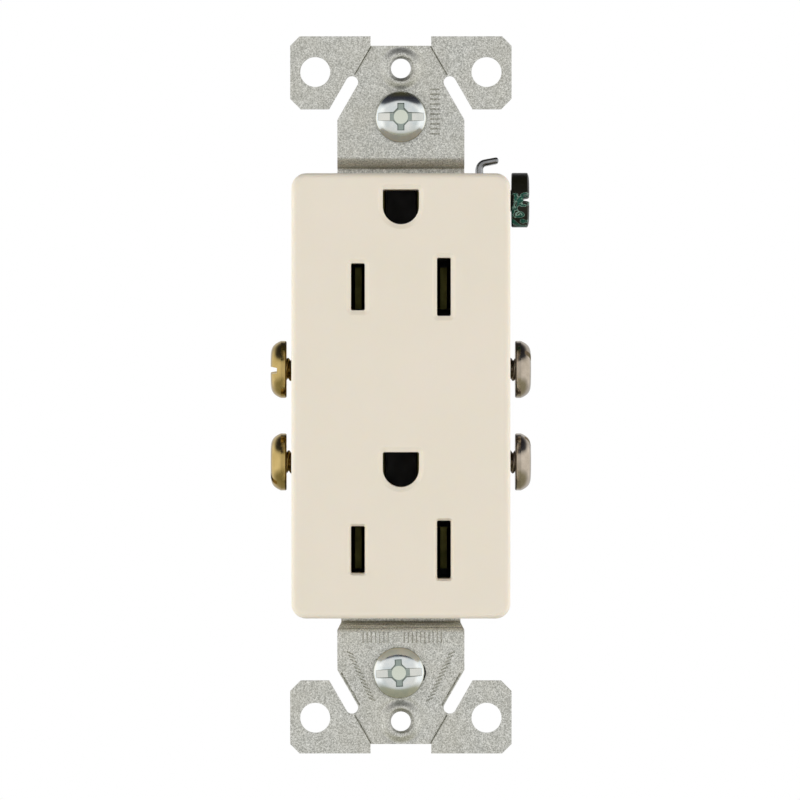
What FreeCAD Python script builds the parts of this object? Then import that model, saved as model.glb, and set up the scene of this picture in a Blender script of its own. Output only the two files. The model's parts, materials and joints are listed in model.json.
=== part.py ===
import FreeCAD, Part
import math
import os
import re
import Sketcher

# Duplex wall outlet with a rectangular face, on a steel mounting strap. Millimetres.
# X runs to the right, Z runs up, and the face looks along -Y, so +Y goes into the wall.
# The origin is the centre of the four ear holes, on the back plane of the ears.

SIZES = {
    # clearances of the cuts, and the overlap of joined blocks
    "cut_margin": 1.0,
    "merge": 0.1,
    "strip_clearance": 0.3,
    "bracket_clearance": 0.2,
    # mounting strap, stamped from sheet steel and stepped back behind the face
    "strap_thick": 1.2,
    "strap_half": 53.16,
    "ear_half": 16.41,
    "ear_inner": 42.35,
    "ear_corner": 1.4,
    "ear_inner_corner": 1.55,
    "neck_half": 9.42,
    "notch_half": 4.5,
    "notch_depth": 1.4,
    "slot_tilt": 30.0,
    "slot_x": 7.26,
    "slot_z": 46.36,
    "slot_width": 1.84,
    "score_width": 0.22,
    "score_depth": 0.2,
    "ear_hole_x": 12.7,
    "ear_hole_z": 47.88,
    "ear_hole_radius": 2.23,
    "plate_hole_z": 48.42,
    "plate_hole_radius": 1.475,
    "boss_radius": 3.3,
    "boss_inner": 2.0,
    "boss_height": 0.3,
    "lead_in_radius": 1.85,
    "lead_in_depth": 0.4,
    "collar_radius": 2.35,
    "collar_reach": 0.9,
    "step_z": 33.78,
    "step_depth": 3.0,
    "bend_outer": 1.5,
    "bend_inner": 0.3,
    "bridge_narrow": 3.6,
    "bridge_wide": 5.0,
    "pin_hole_radius": 3.5,
    "bridge_top": 23.5,
    "bridge_bottom": -28.4,
    "bridge_lower_half": 8.85,
    "bridge_corner": 1.1,
    "bridge_lower_top": -6.5,
    "bridge_lower_bottom": -15.4,
    # mounting screws and the slots they slide in
    "mounting_z": 41.2,
    "mounting_slot_half": 3.72,
    "mounting_slot_radius": 2.05,
    "mounting_lower_x": -0.3,
    "mounting_lower_turn": 3.0,
    # moulded face
    "face_half": 16.17,
    "face_top": 32.72,
    "face_bottom": -33.02,
    "face_front": -8.4,
    "face_inner": -6.0,
    "face_corner": 2.2,
    "face_round": 0.9,
    "wall": 1.7,
    "parting": 3.0,
    "bevel": 0.7,
    "bevel_depth": 0.35,
    "guide_half_x": 9.2,
    "guide_half_z": 5.6,
    "pin_boss_radius": 5.0,
    "passage_gap": 0.2,
    # outlets
    "outlet_upper": 15.95,
    "outlet_lower": -22.85,
    "blade_x": 6.35,
    "blade_width": 2.05,
    "hot_height": 6.95,
    "neutral_height": 8.6,
    "pin_above": 11.9,
    "pin_radius": 2.68,
    "pin_flat": 2.5,
    "opening_corner": 0.25,
    # base housing
    "base_half": 16.05,
    "base_top": 32.46,
    "base_bottom": -32.9,
    "base_back": 22.6,
    "base_corner": 2.0,
    "base_round": 0.8,
    "chamber_back": 16.5,
    "chamber_inner": 3.9,
    "chamber_outer": 13.0,
    "chamber_half_z": 4.2,
    "clip_chamber_top": 10.0,
    "clip_chamber_bottom": -16.2,
    "clip_chamber_inner": 5.6,
    "recess_x": 14.2,
    "recess_top": 9.5,
    "recess_bottom": -15.6,
    "recess_front": 4.6,
    "spine_slot_back": 14.0,
    "pin_chamber_half_x": 3.9,
    "pin_chamber_half_z": 3.2,
    "pin_chamber_back": 13.6,
    "strip_channel": 4.2,
    "strip_channel_back": 4.0,
    "rivet_pocket_gap": 0.4,
    "rivet_pocket_depth": 2.0,
    "corner_notch_z": 23.4,
    "panel_half_x": 5.0,
    "panel_top": 30.0,
    "panel_bottom": 13.0,
    "panel_depth": 0.35,
    "gauge_half_z": 5.6,
    "gauge_z": -14.0,
    "gauge_half_x": 0.8,
    "gauge_depth": 0.9,
    "end_rib_half": 0.6,
    "end_rib_pitch": 5.2,
    "end_rib_depth": 0.5,
    "end_rib_start": 4.0,
    # terminals and their screws
    "terminal_y": 9.5,
    "terminal_upper": 3.8,
    "terminal_lower": -10.0,
    "terminal_seat": 17.05,
    "terminal_bore": 2.15,
    "thread_bore": 1.8,
    "tab_top": 0.1,
    "tab_bottom": -6.2,
    "tab_front": 7.6,
    "tab_back": 11.4,
    "tab_rim_y": 1.1,
    "tab_rim_z": 0.8,
    # line and neutral contact strips
    "spine_thick": 0.95,
    "spine_front": 3.4,
    "spine_back": 13.8,
    "spine_top": 19.4,
    "spine_bottom": -26.3,
    "arm_thick": 0.9,
    "arm_half": 3.1,
    "leaf_thick": 0.7,
    "leaf_front": 4.2,
    "leaf_pinch": 6.6,
    "leaf_bend": 10.6,
    "leaf_root": 0.2,
    "gap_base": 0.95,
    "gap_pinch": 0.5,
    "gap_mouth": 1.35,
    # ground contact strip
    "ground_thick": 0.8,
    "ground_half": 2.6,
    "ground_pad_half": 4.0,
    "ground_pad_above": 3.4,
    "ground_pad_below": 3.8,
    "ground_window_x": 2.5,
    "ground_window_z": 2.75,
    "ground_leaf_back": 12.6,
    "ground_leaf_pinch": 9.6,
    "ground_gap_pinch": 2.2,
    "ground_gap_tail": 2.7,
    # ground terminal bracket
    "bracket_thick": 1.15,
    "bracket_outer": 12.27,
    "bracket_foot_left": 4.9,
    "bracket_foot_top": 31.0,
    "bracket_foot_bottom": 25.6,
    "bracket_top": 32.3,
    "bracket_bottom": 24.6,
    "bracket_back": 14.6,
    "ground_screw_z": 29.08,
    "ground_screw_seat": 16.5,
    "ground_bore_start": 8.4,
    "hook_front": 6.2,
    "hook_back": 12.0,
    "hook_bend_z": 34.06,
    "hook_top_z": 34.84,
    "hook_root": 1.0,
    "hook_tip_x": 14.55,
    "hook_tip_low": 34.52,
    "hook_tip_high": 35.48,
    "hook_bend_outer": 1.6,
    "hook_bend_inner": 0.5,
    "hook_tip_round": 0.4,
    # rivets
    "rivet_radius": 1.0,
    "rivet_head_radius": 1.6,
    "rivet_head_small": 1.12,
    "rivet_head_thick": 0.6,
    "rivet_z": 3.0,
    "bracket_rivet_x": 7.4,
    "bracket_rivet_z": 28.3,
    # self-tapping screws that clamp base, strap and face together
    "assembly_upper": 8.5,
    "assembly_lower": -29.6,
    "assembly_clear": 1.7,
    "assembly_pilot": 1.5,
    "assembly_boss": 3.0,
    "assembly_seat": 20.2,
    "assembly_sink": 2.55,
    "assembly_pilot_front": -4.6,
    # push-in wiring
    "wire_x": 12.15,
    "wire_upper": 7.6,
    "wire_lower": -13.7,
    "wire_radius": 1.15,
    "release_x": 9.6,
    "release_half_x": 0.5,
    "release_half_z": 1.5,
    "clip_half_z": 1.6,
    "clip_thick": 0.45,
    "clip_leg_x": 7.2,
    "clip_fold": 1.2,
    "clip_fold_inner_x": 0.9,
    "clip_fold_inner_y": 1.1,
    "clip_front": 5.4,
    "clip_back": 16.2,
    "clip_tip_x": 12.5,
    "clip_tip_y": 9.6,
    # screw retainers, fibre washers that hold the mounting screws in the strap
    "retainer_half_x": 4.6,
    "retainer_half_z": 3.9,
    "retainer_bore": 1.62,
    "retainer_corner": 1.5,
    "retainer_gap": 0.05,
    "retainer_thick": 0.8,
    # screw families: head radius, radius at the rim's top, rim and dome heights, edge rounding,
    # shank radius and length, drive
    "mounting_head": 3.775,
    "mounting_rim_top": 3.7,
    "mounting_rim": 0.7,
    "mounting_dome": 1.25,
    "mounting_edge": 0.3,
    "mounting_neck": 1.5,
    "mounting_neck_length": 2.3,
    "mounting_shank": 1.74,
    "mounting_length": 19.0,
    "terminal_head": 4.27,
    "terminal_rim_top": 4.1,
    "terminal_rim": 1.3,
    "terminal_dome": 1.15,
    "terminal_edge": 0.3,
    "terminal_shank": 1.74,
    "terminal_length": 7.0,
    "ground_head": 4.07,
    "ground_rim_top": 3.98,
    "ground_rim": 2.4,
    "ground_dome": 0.25,
    "ground_edge": 0.3,
    "ground_shank": 1.74,
    "ground_length": 7.2,
    "assembly_head": 2.3,
    "assembly_rim_top": 2.2,
    "assembly_rim": 0.9,
    "assembly_dome": 0.7,
    "assembly_edge": 0.2,
    "assembly_shank": 1.45,
    "assembly_length": 23.8,
    "drive_width": 1.2,
    "drive_reach": 3.5,
    "drive_depth": 0.75,
    "cross_width": 0.9,
    "cross_reach": 2.05,
    "cross_depth": 1.5,
    "cross_centre": 1.05,
}

TOLERANCE = 0.01
SIGNS = ("", "-")
OUTLETS = ("outlet_upper", "outlet_lower")

document = FreeCAD.newDocument("DuplexOutlet")
sheet = document.addObject("Spreadsheet::Sheet", "Sizes")
for row, (alias, number) in enumerate(SIZES.items(), start=1):
    sheet.set(f"A{row}", alias)
    sheet.set(f"B{row}", str(number))
    sheet.setAlias(f"B{row}", alias)
document.recompute()

ALIAS = re.compile(r"\b(" + "|".join(SIZES) + r")\b")


def bind(feature, target, text):
    """Bind a property to an expression written with the bare names of the sheet's cells."""
    feature.setExpression(target, ALIAS.sub(r"Sizes.\1", text))


def size(alias):
    return float(sheet.get(alias))


def new_body(name):
    body = document.addObject("PartDesign::Body", name)
    body.Label = name
    return body


# ---- sketches ----

def start_sketch(body, name, role, offset):
    """Start a sketch on one of the body's own origin planes, moved along its normal."""
    sketch = body.newObject("Sketcher::SketchObject", name)
    plane = next(item for item in body.Origin.OriginFeatures if item.Role == role)
    sketch.AttachmentSupport = (plane, [""])
    sketch.MapMode = "FlatFace"
    bind(sketch, "AttachmentOffset.Base.z", offset)
    return sketch


def draw_outline(sketch, corners):
    """Draw a closed outline whose corners are pairs of expressions.

    It starts as a regular polygon, which its constraints then pull into shape.
    """
    count = len(corners)
    angles = [2 * math.pi * index / count for index in range(count)]
    starts = [FreeCAD.Vector(math.cos(angle), math.sin(angle), 0) for angle in angles]
    sides = []
    for index in range(count):
        side = Part.LineSegment(starts[index], starts[(index + 1) % count])
        sides.append(sketch.addGeometry(side, False))
    for index in range(count):
        sketch.addConstraint(Sketcher.Constraint("Coincident", sides[index - 1], 2, sides[index], 1))
    for side, start, (across, up) in zip(sides, starts, corners):
        for kind, value, text in (("DistanceX", start.x, across), ("DistanceY", start.y, up)):
            number = sketch.addConstraint(Sketcher.Constraint(kind, -1, 1, side, 1, value))
            bind(sketch, f"Constraints[{number}]", text)


def mirrored(corners, sign_x, sign_z):
    return [(f"{sign_x}({across})", f"{sign_z}({up})") for across, up in corners]


def pad(body, name, sketch, length, midplane=False):
    feature = body.newObject("PartDesign::Pad", name)
    feature.Profile = sketch
    feature.Midplane = midplane
    bind(feature, "Length", length)
    document.recompute()
    return feature


def pocket(body, name, sketch, length):
    """Cut a sketch into the body, against the sketch's normal."""
    before = body.Shape.Volume
    feature = body.newObject("PartDesign::Pocket", name)
    feature.Profile = sketch
    bind(feature, "Length", length)
    document.recompute()
    if body.Shape.Volume >= before:
        raise RuntimeError(f"{name} cuts nothing")
    return feature


# ---- primitives inside a body ----

def span(sign, inner, outer):
    """Low and high end of a stretch that runs from inner to outer on one side."""
    if sign == "-":
        return (f"-({outer})", f"-({inner})")
    return (inner, outer)


def block(body, name, kind, across, deep, up):
    """Add or cut a box given by its (low, high) expressions along X, Y and Z."""
    feature = body.newObject(f"PartDesign::{kind}Box", name)
    sides = (("Length", "x", across), ("Width", "y", deep), ("Height", "z", up))
    for side, axis, (low, high) in sides:
        bind(feature, side, f"({high}) - ({low})")
        bind(feature, f"Placement.Base.{axis}", low)
    return feature


TURNS = {
    "X": FreeCAD.Rotation(FreeCAD.Vector(0, 1, 0), 90),
    "Y": FreeCAD.Rotation(FreeCAD.Vector(1, 0, 0), -90),
    "Z": FreeCAD.Rotation(),
}


def place(feature, axis, start):
    """Stand a round feature on the point start, pointing along axis."""
    feature.Placement = FreeCAD.Placement(FreeCAD.Vector(), TURNS[axis])
    for letter, text in zip("xyz", start):
        bind(feature, f"Placement.Base.{letter}", text)


def rod(body, name, kind, axis, start, radius, length):
    feature = body.newObject(f"PartDesign::{kind}Cylinder", name)
    bind(feature, "Radius", radius)
    bind(feature, "Height", length)
    place(feature, axis, start)
    return feature


def cone(body, name, kind, axis, start, radius, end_radius, length):
    feature = body.newObject(f"PartDesign::{kind}Cone", name)
    bind(feature, "Radius1", radius)
    bind(feature, "Radius2", end_radius)
    bind(feature, "Height", length)
    place(feature, axis, start)
    return feature


def cap(body, name, start, radius, height):
    """Add a spherical cap on local Z, of the given base radius and height."""
    feature = body.newObject("PartDesign::AdditiveSphere", name)
    ball = f"(({radius})^2 + ({height})^2) / (2 * ({height}))"
    bind(feature, "Radius", ball)
    bind(feature, "Angle1", f"asin(({ball} - ({height})) / ({ball}))")
    feature.Angle2 = 90
    place(feature, "Z", ("0", "0", f"({start}) - ({ball} - ({height}))"))
    return feature


def soften(body, name, kind, radius, wanted, depth=None):
    """Fillet or chamfer every edge of the body that the test picks.

    With a depth, the chamfer is as wide as radius and as deep as depth.
    """
    document.recompute()
    base = body.Tip
    names = [f"Edge{number}" for number, edge in enumerate(base.Shape.Edges, start=1) if wanted(edge)]
    if not names:
        raise RuntimeError(f"{name} finds no edge")
    feature = body.newObject(f"PartDesign::{kind}", name)
    feature.Base = (base, names)
    bind(feature, "Radius" if kind == "Fillet" else "Size", radius)
    if depth is not None:
        feature.ChamferType = "Two distances"
        bind(feature, "Size2", depth)
    document.recompute()
    return feature


def edge_along(edge, axis):
    """True for a straight edge that runs along X, Y or Z."""
    box = edge.BoundBox
    lengths = {"X": box.XLength, "Y": box.YLength, "Z": box.ZLength}
    across = [value for letter, value in lengths.items() if letter != axis]
    return max(across) < TOLERANCE and lengths[axis] > TOLERANCE


def near(value, target):
    return abs(value - target) < TOLERANCE


# ---- mounting strap ----

def strap_bends(body):
    """Round the four bends of the strap, where it steps back behind the face."""
    thick = size("strap_thick")
    step_z = size("step_z")
    step = size("step_depth")
    outer = ((-thick, step_z), (step, step_z + thick))
    inner = ((step - thick, step_z), (0.0, step_z + thick))
    bends = (("outer_bends", "bend_outer", outer), ("inner_bends", "bend_inner", inner))
    for name, radius, places in bends:
        def picked(edge, places=places):
            middle = edge.CenterOfMass
            found = [near(middle.y, deep) and near(abs(middle.z), up) for deep, up in places]
            return edge_along(edge, "X") and any(found)
        soften(body, name, "Fillet", radius, picked)


def strap_outline(body):
    """Cut the ears, the tilted slots beside the necks and the ear corners."""
    through = "step_depth + strap_thick"
    sine = "sin(slot_tilt * 1deg)"
    cosine = "cos(slot_tilt * 1deg)"
    tangent = "tan(slot_tilt * 1deg)"
    inner_x = f"(slot_x - slot_width / 2 * {cosine})"
    inner_z = f"(slot_z - slot_width / 2 * {sine})"
    outer_x = f"(slot_x + slot_width / 2 * {cosine})"
    outer_z = f"(slot_z + slot_width / 2 * {sine})"
    quarter = [
        ("neck_half", f"{inner_z} - (neck_half - {inner_x}) / {tangent}"),
        (inner_x, inner_z),
        (outer_x, outer_z),
        (f"{outer_x} + ({outer_z} - ear_inner) * {tangent}", "ear_inner"),
        ("ear_half - ear_inner_corner", "ear_inner"),
        ("ear_half", "ear_inner + ear_inner_corner"),
        ("ear_half + cut_margin", "ear_inner + ear_inner_corner"),
    ]
    sides = start_sketch(body, "side_outline", "XZ_Plane", "strap_thick")
    for sign in SIGNS:
        draw_outline(sides, mirrored(quarter, sign, "") + mirrored(quarter, sign, "-")[::-1])
    pocket(body, "side_cut", sides, through)

    corners = start_sketch(body, "corner_outline", "XZ_Plane", "strap_thick")
    corner = [
        ("ear_half - ear_corner", "strap_half"),
        ("ear_half", "strap_half"),
        ("ear_half", "strap_half - ear_corner"),
    ]
    scores = start_sketch(body, "score_outline", "XZ_Plane", "strap_thick")
    start_x = f"(slot_x - slot_width / 2 * {sine})"
    start_z = f"(slot_z + slot_width / 2 * {cosine})"
    run = f"((strap_half - notch_depth - {start_z}) / {cosine})"
    score = []
    for along, side in ((run, "+"), (run, "-"), ("0", "-"), ("0", "+")):
        across = f"{start_x} - {along} * {sine} {side} score_width / 2 * {cosine}"
        up = f"{start_z} + {along} * {cosine} {side} score_width / 2 * {sine}"
        score.append((across, up))
    for sign_x in SIGNS:
        for sign_z in SIGNS:
            draw_outline(corners, mirrored(corner, sign_x, sign_z))
            draw_outline(scores, mirrored(score, sign_x, sign_z))
    pocket(body, "corner_cut", corners, through)
    for x_number, sign_x in enumerate(SIGNS):
        for z_number, sign_z in enumerate(SIGNS):
            start = (f"{sign_x}slot_x", "-strap_thick", f"{sign_z}slot_z")
            rod(body, f"slot_end_{x_number}{z_number}", "Subtractive", "Y", start, "slot_width / 2",
                through)
    pocket(body, "score_lines", scores, "score_depth")


def strap_holes(body):
    """Make the ear holes, plate screw holes, mounting slots and end notches."""
    through = "step_depth + strap_thick"
    deep = ("-strap_thick", "step_depth")
    for z_number, sign_z in enumerate(SIGNS):
        block(body, f"end_notch_{z_number}", "Subtractive", ("-notch_half", "notch_half"), deep,
              span(sign_z, "strap_half - notch_depth", "strap_half"))
        for x_number, sign_x in enumerate(SIGNS):
            start = (f"{sign_x}ear_hole_x", "-strap_thick", f"{sign_z}ear_hole_z")
            rod(body, f"ear_hole_{x_number}{z_number}", "Subtractive", "Y", start, "ear_hole_radius",
                through)
            start = (f"{sign_x}(mounting_slot_half - mounting_slot_radius)", "-strap_thick",
                     f"{sign_z}mounting_z")
            rod(body, f"mounting_end_{x_number}{z_number}", "Subtractive", "Y", start,
                "mounting_slot_radius", through)
        flat = "mounting_slot_half - mounting_slot_radius"
        block(body, f"mounting_slot_{z_number}", "Subtractive", (f"-({flat})", flat), deep,
              (f"{sign_z}mounting_z - mounting_slot_radius", f"{sign_z}mounting_z + mounting_slot_radius"))
        up = f"{sign_z}plate_hole_z"
        front = "strap_thick + boss_height"
        cone(body, f"boss_{z_number}", "Additive", "Y", ("0", f"-({front})", up), "boss_inner", "boss_radius",
             "boss_height")
        rod(body, f"collar_{z_number}", "Additive", "Y", ("0", "-strap_thick", up), "collar_radius",
            "strap_thick + collar_reach")
        cone(body, f"lead_in_{z_number}", "Subtractive", "Y", ("0", f"-({front})", up),
             "lead_in_radius", "plate_hole_radius", "lead_in_depth")
        rod(body, f"plate_hole_{z_number}", "Subtractive", "Y", ("0", f"-({front})", up),
            "plate_hole_radius", f"{front} + collar_reach + cut_margin")


def strap_bridge(body):
    """Narrow the bridge between the contacts, and make its holes."""
    bands = (
        ("top", "bridge_narrow", "bridge_lower_top", "bridge_top"),
        ("pin", "bridge_wide", "bridge_lower_bottom", "bridge_lower_top"),
        ("bottom", "bridge_narrow", "bridge_bottom", "bridge_lower_bottom"),
    )
    deep = ("step_depth - strap_thick", "step_depth")
    for label, inner, low, high in bands:
        for number, sign in enumerate(SIGNS):
            block(body, f"bridge_{label}_{number}", "Subtractive", span(sign, inner, "neck_half"), deep,
                  (low, high))
    trim = start_sketch(body, "lower_trim", "XZ_Plane", "strap_thick")
    corner = [
        ("neck_half", "-(step_z + bridge_corner)"),
        ("bridge_lower_half", "-step_z"),
        ("bridge_lower_half", "bridge_bottom"),
        ("neck_half", "bridge_bottom"),
    ]
    for sign in SIGNS:
        draw_outline(trim, mirrored(corner, sign, ""))
    pocket(body, "lower_corners", trim, "step_depth + strap_thick")
    front = "step_depth - strap_thick"
    holes = [
        ("pin_upper", "0", "outlet_upper + pin_above", "pin_hole_radius"),
        ("pin_lower", "0", "outlet_lower + pin_above", "pin_hole_radius"),
        ("assembly_upper", "0", "assembly_upper", "assembly_clear"),
        ("assembly_lower", "0", "assembly_lower", "assembly_clear"),
        ("rivet_upper", "0", "rivet_z", "rivet_radius"),
        ("rivet_lower", "0", "-rivet_z", "rivet_radius"),
        ("rivet_bracket", "bracket_rivet_x", "bracket_rivet_z", "rivet_radius"),
    ]
    for label, across, up, radius in holes:
        rod(body, f"hole_{label}", "Subtractive", "Y", (across, front, up), radius, "strap_thick")


def make_mounting_strap():
    body = new_body("mounting_strap")
    sketch = start_sketch(body, "side_profile", "YZ_Plane", "0")
    half = [
        ("-strap_thick", "strap_half"),
        ("-strap_thick", "step_z"),
        ("step_depth - strap_thick", "step_z"),
    ]
    back = [
        ("step_depth", "step_z + strap_thick"),
        ("0", "step_z + strap_thick"),
        ("0", "strap_half"),
    ]
    front_side = half + mirrored(half, "", "-")[::-1]
    back_side = mirrored(back, "", "-")[::-1] + back
    draw_outline(sketch, front_side + back_side)
    pad(body, "sheet", sketch, "2 * ear_half", midplane=True)
    strap_bends(body)
    strap_outline(body)
    strap_holes(body)
    strap_bridge(body)
    return body


# ---- moulded face ----

def outlet_openings(body):
    """Cut the two blade slots and the ground hole of each outlet through the face."""
    deep = ("face_front", "step_depth")
    for number, centre in enumerate(OUTLETS):
        for label, sign, height in (("hot", "-", "hot_height"), ("neutral", "", "neutral_height")):
            middle = f"{sign}blade_x"
            block(body, f"{label}_slot_{number}", "Subtractive",
                  (f"{middle} - blade_width / 2", f"{middle} + blade_width / 2"), deep,
                  (f"{centre} - {height} / 2", f"{centre} + {height} / 2"))
        pin = f"{centre} + pin_above"
        lower_half = rod(body, f"pin_round_{number}", "Subtractive", "Y", ("0", "face_front", pin),
                         "pin_radius", "step_depth - face_front")
        lower_half.Angle = 180
        block(body, f"pin_flat_{number}", "Subtractive", ("-pin_radius", "pin_radius"), deep,
              (pin, f"{pin} + pin_flat"))

    def at_corner(edge):
        middle = edge.CenterOfMass
        inside = abs(middle.x) < size("guide_half_x") and near(edge.BoundBox.YMin, size("face_front"))
        tangent = any(near(middle.z, size(centre) + size("pin_above")) for centre in OUTLETS)
        return edge_along(edge, "Y") and inside and not tangent
    soften(body, "opening_corners", "Fillet", "opening_corner", at_corner)


def make_face_cover():
    body = new_body("face_cover")
    sketch = start_sketch(body, "face_outline", "XZ_Plane", "-parting")
    draw_outline(sketch, [
        ("-face_half", "face_bottom"),
        ("face_half", "face_bottom"),
        ("face_half", "face_top"),
        ("-face_half", "face_top"),
    ])
    pad(body, "shell", sketch, "parting - face_front")
    soften(body, "corners", "Fillet", "face_corner", lambda edge: edge_along(edge, "Y"))
    soften(body, "front_edge", "Fillet", "face_round",
           lambda edge: near(edge.BoundBox.YMin, size("face_front")) and near(edge.BoundBox.YLength, 0))
    inside = ("-(face_half - wall)", "face_half - wall")
    block(body, "hollow", "Subtractive", inside, ("face_inner", "parting"),
          ("face_bottom + wall", "face_top - wall"))
    front_to_strap = ("face_inner", "step_depth - strap_thick")
    reach = "step_depth - strap_thick - face_inner"
    for number, centre in enumerate(OUTLETS):
        block(body, f"guide_{number}", "Additive", ("-guide_half_x", "guide_half_x"), front_to_strap,
              (f"{centre} - guide_half_z", f"{centre} + guide_half_z"))
        rod(body, f"pin_boss_{number}", "Additive", "Y", ("0", "face_inner", f"{centre} + pin_above"),
            "pin_boss_radius", reach)
    for number, centre in enumerate(("assembly_upper", "assembly_lower")):
        rod(body, f"screw_boss_{number}", "Additive", "Y", ("0", "face_inner", centre), "assembly_boss",
            reach)
        rod(body, f"pilot_{number}", "Subtractive", "Y", ("0", "assembly_pilot_front", centre),
            "assembly_pilot", "parting - assembly_pilot_front")
    passage = ("-(neck_half + passage_gap)", "neck_half + passage_gap")
    for number, (low, high) in enumerate((("face_top - wall", "face_top"),
                                          ("face_bottom", "face_bottom + wall"))):
        block(body, f"strap_passage_{number}", "Subtractive", passage,
              ("step_depth - strap_thick", "parting"), (low, high))
    outlet_openings(body)

    def at_opening(edge):
        middle = edge.BoundBox.Center
        margin = size("face_corner")
        level = size("face_bottom") + margin < middle.z < size("face_top") - margin
        on_front = near(edge.BoundBox.YMax, size("face_front"))
        return on_front and level and abs(middle.x) < size("guide_half_x")
    soften(body, "opening_bevels", "Chamfer", "bevel", at_opening, depth="bevel_depth")
    return body


# ---- base housing ----

def base_chambers(body):
    """Hollow the base from the front for the contacts, the clips and the ground strip."""
    front = "parting"
    for number, sign in enumerate(SIGNS):
        for row, centre in enumerate(OUTLETS):
            block(body, f"blade_chamber_{number}{row}", "Subtractive",
                  span(sign, "chamber_inner", "chamber_outer"), (front, "chamber_back"),
                  (f"{centre} - chamber_half_z", f"{centre} + chamber_half_z"))
        block(body, f"clip_chamber_{number}", "Subtractive",
              span(sign, "clip_chamber_inner", "chamber_outer"), (front, "chamber_back"),
              ("clip_chamber_bottom", "clip_chamber_top"))
        block(body, f"spine_slot_{number}", "Subtractive",
              span(sign, "chamber_outer - merge", "recess_x"), (front, "spine_slot_back"),
              ("spine_bottom - strip_clearance", "spine_top + strip_clearance"))
        block(body, f"terminal_recess_{number}", "Subtractive",
              span(sign, "recess_x", "base_half"), ("recess_front", "base_back"),
              ("recess_bottom", "recess_top"))
    block(body, "strip_channel", "Subtractive", ("-strip_channel", "strip_channel"),
          (front, "strip_channel_back"),
          ("outlet_lower + pin_above - ground_pad_below - strip_clearance",
           "outlet_upper + pin_above + ground_pad_above + strip_clearance"))
    for row, centre in enumerate(OUTLETS):
        pin = f"{centre} + pin_above"
        block(body, f"pin_chamber_{row}", "Subtractive", ("-pin_chamber_half_x", "pin_chamber_half_x"),
              (front, "pin_chamber_back"), (f"{pin} - pin_chamber_half_z", f"{pin} + pin_chamber_half_z"))
    for row, up in enumerate(("rivet_z", "-rivet_z")):
        rod(body, f"rivet_pocket_{row}", "Subtractive", "Y", ("0", front, up),
            "rivet_head_radius + rivet_pocket_gap", "rivet_pocket_depth")


def base_ground_corner(body):
    """Open the upper right corner for the ground terminal, its screw and its hook."""
    inner = "bracket_outer - bracket_thick"
    block(body, "corner_notch", "Subtractive", ("bracket_outer", "base_half"),
          ("parting", "base_back"), ("corner_notch_z", "base_top"))
    block(body, "bracket_slot", "Subtractive", (f"{inner} - merge", "bracket_outer"),
          ("parting", "bracket_back + bracket_clearance"),
          ("bracket_bottom - bracket_clearance", "base_top"))
    block(body, "foot_channel", "Subtractive", ("bracket_foot_left - bracket_clearance", "bracket_outer"),
          ("parting", "parting + bracket_thick + bracket_clearance"),
          ("bracket_foot_bottom - bracket_clearance", "bracket_foot_top + bracket_clearance"))
    rod(body, "bracket_rivet_pocket", "Subtractive", "Y", ("bracket_rivet_x", "parting", "bracket_rivet_z"),
        "rivet_head_radius + rivet_pocket_gap", "bracket_thick + rivet_head_thick + rivet_pocket_gap")
    rod(body, "ground_screw_clearance", "Subtractive", "X",
        ("ground_bore_start", "terminal_y", "ground_screw_z"), "terminal_bore",
        "bracket_outer - ground_bore_start")


def base_back_face(body):
    """Make the wire holes, the release slots and the sunk seats of the assembly screws."""
    reach = "base_back - chamber_back"
    for number, sign in enumerate(SIGNS):
        for row, up in enumerate(("wire_upper", "wire_lower")):
            rod(body, f"wire_hole_{number}{row}", "Subtractive", "Y",
                (f"{sign}wire_x", "chamber_back", up), "wire_radius", reach)
            middle = f"{sign}release_x"
            block(body, f"release_slot_{number}{row}", "Subtractive",
                  (f"{middle} - release_half_x", f"{middle} + release_half_x"),
                  ("chamber_back", "base_back"), (f"{up} - release_half_z", f"{up} + release_half_z"))
    for row, up in enumerate(("assembly_upper", "assembly_lower")):
        rod(body, f"assembly_hole_{row}", "Subtractive", "Y", ("0", "parting", up), "assembly_clear",
            "base_back - parting")
        rod(body, f"assembly_sink_{row}", "Subtractive", "Y", ("0", "assembly_seat", up), "assembly_sink",
            "base_back - assembly_seat")


def base_mouldings(body):
    """Sink the back panel and the strip gauge, and cut the shallow grooves of the end walls."""
    block(body, "back_panel", "Subtractive", ("-panel_half_x", "panel_half_x"),
          ("base_back - panel_depth", "base_back"), ("panel_bottom", "panel_top"))
    block(body, "strip_gauge", "Subtractive", ("-gauge_half_x", "gauge_half_x"),
          ("base_back - gauge_depth", "base_back"), ("gauge_z - gauge_half_z", "gauge_z + gauge_half_z"))
    ends = (("base_top - end_rib_depth", "base_top"), ("base_bottom", "base_bottom + end_rib_depth"))
    for row, up in enumerate(ends):
        for column in range(-1, 2):
            middle = f"{column} * end_rib_pitch"
            block(body, f"end_groove_{row}{column + 1}", "Subtractive",
                  (f"{middle} - end_rib_half", f"{middle} + end_rib_half"),
                  ("parting + end_rib_start", "base_back"), up)


def make_base_housing():
    body = new_body("base_housing")
    sketch = start_sketch(body, "base_outline", "XZ_Plane", "-base_back")
    draw_outline(sketch, [
        ("-base_half", "base_bottom"),
        ("base_half", "base_bottom"),
        ("base_half", "base_top"),
        ("-base_half", "base_top"),
    ])
    pad(body, "block", sketch, "base_back - parting")
    soften(body, "corners", "Fillet", "base_corner", lambda edge: edge_along(edge, "Y"))
    soften(body, "back_edge", "Fillet", "base_round",
           lambda edge: near(edge.BoundBox.YMax, size("base_back")) and near(edge.BoundBox.YLength, 0))
    base_chambers(body)
    base_ground_corner(body)
    base_back_face(body)
    base_mouldings(body)
    return body


# ---- contacts ----

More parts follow.
